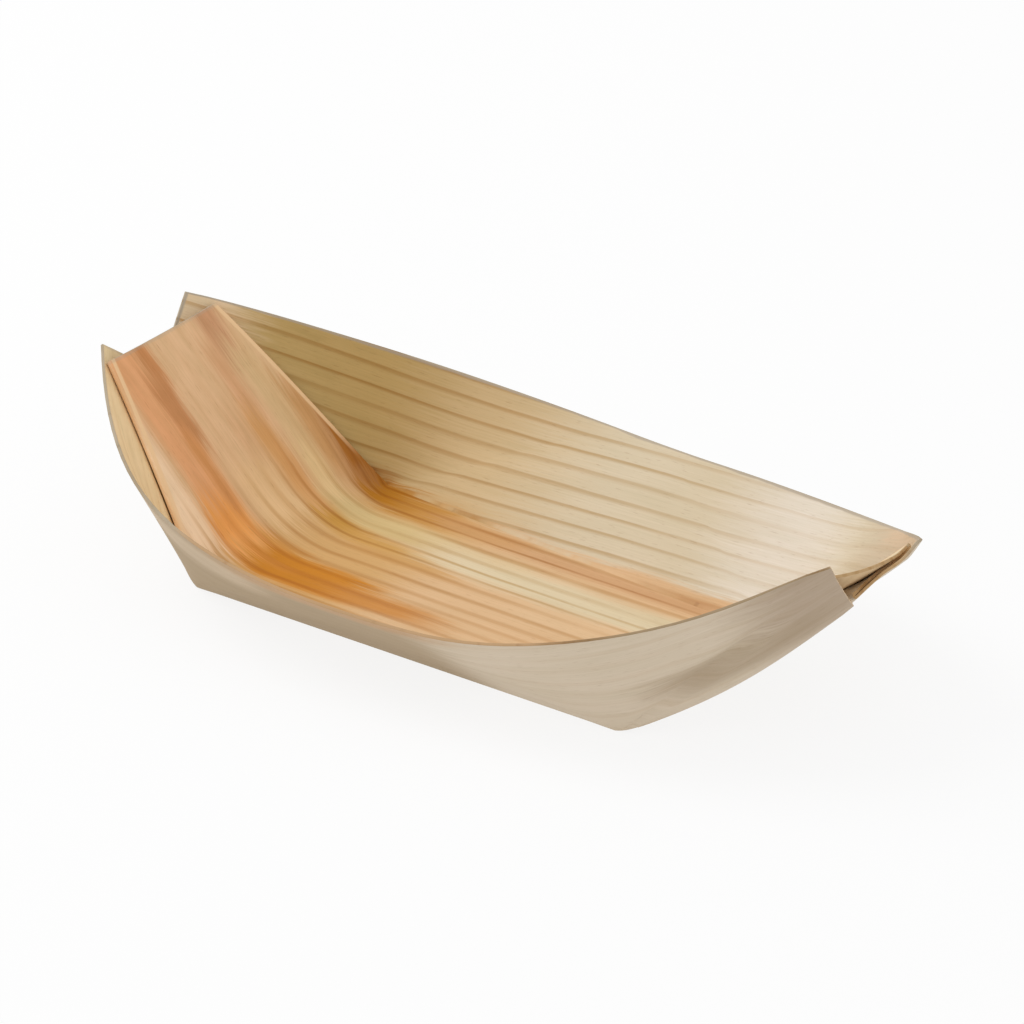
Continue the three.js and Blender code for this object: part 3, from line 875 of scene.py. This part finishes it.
def fold_highlight_and_wear(board, along, across):
    """The pale band on the folds at the ramps' side edges: a painted highlight, with bruised fibres."""
    right = board.math("GREATER_THAN", along, 0.0)
    widths = (FLOOR_WIDTH, RAMP_TOP_WIDTH)
    corner, top = (board.between(right, width[-1] / 2, width[1] / 2) for width in widths)
    climb = board.minus(board.size(along), FLOOR_END)
    edge = board.sum(corner, board.times(board.over(climb, RAMP_LENGTH), board.minus(top, corner)))
    from_edge = board.minus(board.size(across), edge)
    near = board.fall(board.size(board.sum(from_edge, HIGHLIGHT_AND_WEAR_INSET)), *HIGHLIGHT_AND_WEAR_BAND)
    return [board.times(near, board.rise(climb, *HIGHLIGHT_AND_WEAR_CLIMB))]


def grey_rim_band(board, from_rim, along, across):
    """A grey band along a cut edge, fainter on the front wall and on the ramps."""
    distance = board.times(board.add("ShaderNodeSeparateXYZ", {"Vector": from_rim}).outputs["X"], SHEET_SPAN)
    band = board.fall(board.sum(distance, board.waver(along, across, RIM_NOISE, RIM_UNEVEN)), *RIM_BAND)
    return [board.times(band, board.between(board.rise(across, *BACK_RIM), *FRONT_AND_BACK_RIM))]


SHEET_PLACE = new_group(sheet_place, ["Map"], ["Along", "Across", "Grain"])
GROWTH_LINES = new_group(growth_lines, ["Along", "Grain", "Plain From"], ["Line"])
BAND = ["Middle", "Half Width", "Edge", "From", "To", "Fade"]
STREAK = new_group(streak, ["Along", "Grain", *BAND], ["Mask"])
WOOD_FIBRE = new_group(wood_fibre, ["Along", "Grain"], ["Fibre", "Pore", "Cloud"])
FOLD_HIGHLIGHT_AND_WEAR = new_group(fold_highlight_and_wear, ["Along", "Across"], ["Wear"])
GREY_RIM_BAND = new_group(grey_rim_band, ["Map", "Along", "Across"], ["Rim"])

# Colours as they look under the studio's light
INNER_BASE = tone(221, 183, 139)
OUTER_BASE = tone(211, 195, 172)
EDGE_BASE = tone(178, 163, 140)
# Pale colours for the folds at the ramps' side edges: a painted highlight, with worn fibres
INNER_HIGHLIGHT_AND_WEAR = tone(246, 208, 160)
OUTER_HIGHLIGHT_AND_WEAR = tone(214, 196, 166)
EDGE_HIGHLIGHT_AND_WEAR = tone(200, 180, 148)
LATE_WOOD = tone(212, 186, 142)
PORE_BROWN = tone(168, 124, 80)
RIM_GREY = tone(180, 168, 150)
GLUE_DULL = tone(221, 208, 176)
GLUE_CLEAR = tone(238, 230, 208)

# How strongly the figure shows in colour, roughness and relief
FIBRE_TONE = 0.10
CLOUD_TONE = 0.07
BLUE_POWER = 1.5
PORE_PART = 0.22
HIGHLIGHT_AND_WEAR_PART = 0.85
FIBRE_ROUGHNESS = 0.07
LINE_ROUGHNESS = -0.06
LINE_HEIGHT = 0.5
PORE_HEIGHT = -0.5
BUMP_STRENGTH = 0.35
BUMP_DISTANCE = 0.00006
WOOD_SPECULAR = 0.18
GLUE_CLOUD_SCALE = 600.0
GLUE_ROUGHNESS = (0.35, 0.6)

# Streaks: colour, strength, middle, half width and soft edge across the grain, start, end and fade along it
FLOOR_STREAKS = [
    (tone(210, 166, 105), 0.85, 1, 26, 4, -50, -20, 9),
    (tone(226, 191, 149), 0.7, 2.2, 3.4, 2, 2, 200, 8),
    (tone(223, 206, 171), 0.95, 11, 4.6, 2.3, -27, 200, 14),
    (tone(222, 198, 156), 0.8, 15.4, 1.9, 1.5, -32, -4, 7),
    (tone(216, 191, 137), 0.9, 13.9, 3.4, 1.6, -59, -26, 9),
    (tone(198, 146, 62), 0.95, 8.6, 2.2, 1.3, -50, -37, 6),
    (tone(210, 161, 88), 0.85, 6.9, 2, 1.3, -41, -24, 7),
    (tone(205, 156, 92), 0.7, 3.6, 1.2, 1, -36, -12, 7),
    (tone(201, 130, 34), 1, -10.9, 5, 1.5, -49, -21, 7),
    (tone(205, 142, 62), 0.7, -5.2, 1.2, 1, -50, -39, 4),
    (tone(212, 142, 58), 0.7, -11, 1.1, 0.7, -54, -38, 5),
    (tone(202, 136, 62), 0.9, -12.2, 2.9, 1.5, -28, -4, 9),
    (tone(196, 141, 66), 0.95, 23, 4.3, 1.3, -42, -28, 5),
    (tone(185, 123, 34), 1, 25, 3.9, 1.2, -53, -39, 5),
    (tone(206, 156, 102), 0.85, 22.8, 2.6, 1.4, -32, -8, 6),
    (tone(207, 160, 115), 0.85, 21.2, 2, 1.3, -11, 60, 8),
]
LEFT_RAMP_STREAKS = [
    (tone(230, 189, 144), 1, 0, 26.5, 1.5, -200, -51, 5),
    (tone(231, 168, 116), 0.9, -10.2, 4.2, 1.8, -200, -56, 5),
    (tone(240, 165, 86), 0.95, -10.9, 4.8, 1.5, -60, -48, 5),
    (tone(255, 224, 188), 0.95, -21.2, 4.8, 2.2, -80, -51, 5),
    (tone(202, 138, 84), 0.95, -4.8, 1.7, 1.2, -200, -82, 5),
    (tone(203, 141, 90), 0.95, -6, 2.2, 1.2, -86, -68, 5),
    (tone(217, 152, 92), 0.9, -7.5, 1.4, 1.1, -73, -56, 5),
    (tone(202, 149, 107), 0.9, 13.4, 2.5, 1.3, -200, -82, 5),
    (tone(219, 167, 121), 0.85, 9.7, 2.3, 1.5, -86, -68, 6),
    (tone(214, 166, 118), 0.6, 4.8, 1.4, 1.2, -73, -58, 5),
    (tone(217, 160, 97), 0.9, 8.9, 2.3, 1.5, -71, -49, 6),
    (tone(222, 188, 138), 0.8, 16, 2.6, 1.6, -84, -50, 7),
    (tone(205, 154, 96), 0.85, 20.2, 2.2, 1.6, -74, -52, 6),
    (tone(170, 108, 38), 1, 26.6, 4.2, 1.6, -78, -49, 6),
    (tone(238, 206, 152), 0.75, 14.6, 2.4, 1.6, -61, -49, 4),
    (tone(236, 199, 146), 0.6, 1.6, 5, 2.4, -62, -48, 4),
]
# The front wall's inner face, which shows mostly from behind, and its paler left end
FRONT_WALL_STREAKS = [
    (tone(213, 190, 150), 0.95, -62, 35, 1, -200, 200, 1),
    (tone(248, 221, 174), 0.95, -42, 16, 3, -200, -48, 6),
]
# The back wall's inner face at the tips of its right and left ears: the brown at the right ear's tip is painted shade
EAR_TIP_SHADE_AND_STREAKS = [
    # Painted shade: the brown on the right ear's tip
    (tone(196, 154, 104), 0.85, 34, 14, 3, 91.5, 200, 1),
    (tone(240, 214, 178), 0.85, 47, 9, 4, -200, -83, 7),
]
# Beyond the back fold the sheet is paler towards the right end
BACK_WALL_STREAKS = [
    (tone(209, 183, 139), 1, 62, 35, 1, -200, 200, 1),
    (tone(191, 162, 103), 0.95, 62, 35, 1, -200, -44, 13),
    (tone(217, 202, 173), 1, 62, 36.3, 1, -16, 200, 18),
    (tone(232, 223, 208), 0.95, 62, 36.3, 1, 30, 57, 12),
    (tone(206, 188, 160), 0.9, 62, 36.3, 1, 66, 200, 7),
    (tone(222, 186, 150), 0.5, 48, 6, 3, 74, 200, 6),
]
OUTER_STREAKS = [
    (tone(174, 152, 121), 0.9, -40, 22, 6, -60, 20, 9),
    (tone(206, 185, 157), 0.8, -46.5, 3.6, 2.6, -70, -20, 8),
    (tone(174, 154, 132), 0.85, -42, 14, 5, 78, 200, 9),
    (tone(172, 152, 126), 0.7, -33, 3, 2, 58, 90, 7),
    (tone(202, 160, 118), 0.6, -51, 2.2, 1.8, -28, 24, 10),
    (tone(184, 160, 126), 0.55, 8, 6, 3, -80, 10, 20),
    (tone(188, 166, 134), 0.55, 38, 5, 3, -20, 60, 20),
    (tone(214, 182, 136), 0.85, 0, 17, 3, 76, 200, 5),
]
# The cut edges: browner at the right end and along the front rim, with painted shade darkening the front rim's right
# part, pale on the near flap
EDGE_STREAKS_AND_SHADE = [
    (tone(190, 152, 110), 0.85, -50, 10, 3, -38, 60, 8),
    # Painted shade: the shadow line along the front rim's right part
    (tone(160, 136, 104), 0.85, -47, 11, 3, 45, 200, 8),
    (tone(198, 160, 110), 0.8, 4, 34, 3, 74, 200, 5),
    (tone(228, 202, 170), 0.85, -38, 9, 3, 93, 200, 1),
]


def veneer(name, base, streaks, highlight_and_wear_colour, *, lines, greyed, plain_from, rough):
    """Bare planed pine: streaks over a base colour, some of them painted shade, then growth lines, fibres, pores, pale
    folds of painted highlight and worn fibres, and a greyed rim.
    """
    material, board, shader = new_material(name)
    sheet = board.add("ShaderNodeUVMap", {}, uv_map="flat_sheet").outputs["UV"]
    place = board.use(SHEET_PLACE, {"Map": sheet})
    spot = {"Along": place["Along"], "Grain": place["Grain"]}
    colour = base
    for shade, part, *band in streaks:
        mask = board.use(STREAK, {**spot, **dict(zip(BAND, band))})["Mask"]
        colour = board.mix(board.times(mask, part), colour, shade)
    line = board.use(GROWTH_LINES, {**spot, "Plain From": plain_from})["Line"]
    colour = board.mix(board.times(line, lines), colour, LATE_WOOD, "MULTIPLY")
    fibre = board.use(WOOD_FIBRE, spot)
    fibre_light = board.between(fibre["Fibre"], -FIBRE_TONE, FIBRE_TONE)
    cloud_light = board.between(fibre["Cloud"], -CLOUD_TONE, CLOUD_TONE)
    light = board.sum(fibre_light, cloud_light, 1.0)
    lights = {"X": light, "Y": light, "Z": board.math("POWER", light, BLUE_POWER)}
    colour = board.mix(1.0, colour, board.add("ShaderNodeCombineXYZ", lights).outputs[0], "MULTIPLY")
    colour = board.mix(board.times(fibre["Pore"], PORE_PART), colour, PORE_BROWN, "MULTIPLY")
    crossing = {"Along": place["Along"], "Across": place["Across"]}
    # Pale band on the ramps' side-edge folds: a painted highlight, with worn fibres
    highlight_and_wear = board.use(FOLD_HIGHLIGHT_AND_WEAR, crossing)["Wear"]
    colour = board.mix(board.times(highlight_and_wear, HIGHLIGHT_AND_WEAR_PART), colour, highlight_and_wear_colour)
    from_rim = board.add("ShaderNodeUVMap", {}, uv_map="from_rim").outputs["UV"]
    rim = board.use(GREY_RIM_BAND, {"Map": from_rim, **crossing})["Rim"]
    colour = board.mix(board.times(rim, greyed), colour, RIM_GREY)
    board.put(shader.inputs["Base Color"], colour)
    roughness = board.between(fibre["Fibre"], rough - FIBRE_ROUGHNESS, rough + FIBRE_ROUGHNESS)
    board.put(shader.inputs["Roughness"], board.sum(roughness, board.times(line, LINE_ROUGHNESS)))
    relief = board.sum(fibre["Fibre"], board.times(line, LINE_HEIGHT), board.times(fibre["Pore"], PORE_HEIGHT))
    bump = {"Height": relief, "Strength": BUMP_STRENGTH, "Distance": BUMP_DISTANCE}
    board.put(shader.inputs["Normal"], board.add("ShaderNodeBump", bump).outputs["Normal"])
    board.put(shader.inputs["Specular IOR Level"], WOOD_SPECULAR)
    return material


def glue():
    """Dried glue, clouded from clear to cream."""
    material, board, shader = new_material("dried_glue")
    place = board.add("ShaderNodeTexCoord", {}).outputs["Object"]
    cloud = board.add("ShaderNodeTexNoise", {"Vector": place, "Scale": GLUE_CLOUD_SCALE}).outputs["Fac"]
    board.put(shader.inputs["Base Color"], board.mix(cloud, GLUE_DULL, GLUE_CLEAR))
    board.put(shader.inputs["Roughness"], board.between(cloud, *GLUE_ROUGHNESS))
    return material


INNER_STREAKS_AND_SHADE = FRONT_WALL_STREAKS + BACK_WALL_STREAKS + EAR_TIP_SHADE_AND_STREAKS + FLOOR_STREAKS + LEFT_RAMP_STREAKS
VENEER = (
    veneer("veneer_inside", INNER_BASE, INNER_STREAKS_AND_SHADE, INNER_HIGHLIGHT_AND_WEAR, lines=0.85, greyed=0.85, plain_from=-5, rough=0.58),
    veneer("veneer_outside", OUTER_BASE, OUTER_STREAKS, OUTER_HIGHLIGHT_AND_WEAR, lines=0.15, greyed=0.1, plain_from=60, rough=0.66),
    veneer("veneer_cut_edge", EDGE_BASE, EDGE_STREAKS_AND_SHADE, EDGE_HIGHLIGHT_AND_WEAR, lines=0.8, greyed=0.0, plain_from=60, rough=0.8),
)
DRIED_GLUE = glue()


# The pieces


def place_piece(piece, node):
    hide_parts(node)
    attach(piece, "root")


panels = {f"{name}_ramp": ramp_faces(end) for name, end in ENDS.items()}
panels |= {f"{name}_wall": wall_faces(side) for name, side in SIDES.items()}
place_piece(sheet_piece("floor_sheet", *floor_faces(), VENEER, cut_top=False), "floor_panel")
for name, faces in panels.items():
    place_piece(sheet_piece(f"{name}_sheet", *faces, VENEER), name)
for end_name, end in ENDS.items():
    for side_name, side in SIDES.items():
        corner_name = f"{side_name}_{end_name}"
        faces = pleat_faces(end, side, panels[f"{end_name}_ramp"], panels[f"{side_name}_wall"])
        pleat = sheet_piece(f"pleat_sheet_{corner_name}", *faces, VENEER, bevel=PLEAT_BEVEL)
        place_piece(pleat, f"corner_pleat_{corner_name}")
        for joint_name, at_flap in (("ramp_to_pleat", False), ("pleat_to_wall", True)):
            glue_name = f"{joint_name}_{corner_name}"
            dab = glue_dab(f"glue_dab_{glue_name}", end, side, at_flap, DRIED_GLUE)
            place_piece(dab, f"glue_{glue_name}")


# The studio, in metres. The camera was fitted to the photograph.

CAMERA_AZIMUTH = math.radians(39.038)
CAMERA_ELEVATION = math.radians(26.005)
CAMERA_DISTANCE = 1.294
CAMERA_AIM = Vector((0.002986, 0.002422, 0.019795))
CAMERA_CLIP = (0.01, 20)
SENSOR_WIDTH = 36
FOCAL_PIXELS = 7080.26
PHOTO_PIXELS = 1024
WHITE = (1, 1, 1, 1)
SKY_LIGHT = 0.78
SKY_SEEN = 1.0
TABLE_REACH = 3.0
TABLE_COLOUR = (0.9, 0.9, 0.9, 1)
TABLE_GLOW = 0.55
TABLE_GLOW_SEEN = 0.85
KEY_PLACE = Vector((-0.65, -0.2, 0.75))
KEY_AIM = Vector((0, 0, 0.02))
KEY_SIZE = 0.7
KEY_POWER = 3.5


def stand(made, place, way):
    """Stands a camera or a lamp at a place, facing a way."""
    made.location = place
    made.rotation_mode = "QUATERNION"
    made.rotation_quaternion = way.to_track_quat("-Z", "Y")


def camera():
    level = math.cos(CAMERA_ELEVATION)
    back = Vector((math.sin(CAMERA_AZIMUTH) * level, -math.cos(CAMERA_AZIMUTH) * level, math.sin(CAMERA_ELEVATION)))
    data = bpy.data.cameras.new("camera")
    data.sensor_width = SENSOR_WIDTH
    data.lens = SENSOR_WIDTH * FOCAL_PIXELS / PHOTO_PIXELS
    data.clip_start, data.clip_end = CAMERA_CLIP
    made = set_up("camera", data)
    stand(made, CAMERA_AIM + back * CAMERA_DISTANCE, -back)
    bpy.context.scene.camera = made


def sky():
    """Even light from all round, which the camera sees as plain white."""
    world = bpy.data.worlds.new("studio")
    bpy.context.scene.world = world
    world.use_nodes = True
    board = Board(world.node_tree)
    background = world.node_tree.nodes["Background"]
    path = board.add("ShaderNodeLightPath", {}).outputs
    mirrored = board.math("MAXIMUM", path["Is Glossy Ray"], path["Is Transmission Ray"])
    seen = board.math("MAXIMUM", path["Is Camera Ray"], mirrored)
    board.put(background.inputs["Color"], WHITE)
    board.put(background.inputs["Strength"], board.between(seen, SKY_LIGHT, SKY_SEEN))


def table():
    """The pale floor: it keeps the boat's shadow, and glows enough to look as white as the background."""
    ground = bpy.data.meshes.new("ground")
    corners = [(x * TABLE_REACH, y * TABLE_REACH, 0) for x, y in ((-1, -1), (1, -1), (1, 1), (-1, 1))]
    ground.from_pydata(corners, [], [(0, 1, 2, 3)])
    made = set_up("ground", ground)
    material, board, shader = new_material("ground")
    material.node_tree.nodes.remove(shader)
    matt = board.add("ShaderNodeBsdfDiffuse", {"Color": TABLE_COLOUR}).outputs[0]
    glow = board.add("ShaderNodeEmission", {"Color": WHITE}).outputs[0]
    seen = board.add("ShaderNodeLightPath", {}).outputs["Is Camera Ray"]
    finish = board.add("ShaderNodeMixShader", {0: board.between(seen, TABLE_GLOW, TABLE_GLOW_SEEN), 1: matt, 2: glow})
    board.put(material.node_tree.nodes["Material Output"].inputs["Surface"], finish.outputs[0])
    ground.materials.append(material)


def softbox():
    data = bpy.data.lights.new("key", "AREA")
    data.shape = "DISK"
    data.size = KEY_SIZE
    data.energy = KEY_POWER
    stand(set_up("key", data), KEY_PLACE, KEY_AIM - KEY_PLACE)


bpy.context.scene.view_settings.view_transform = "Standard"
camera()
sky()
table()
softbox()
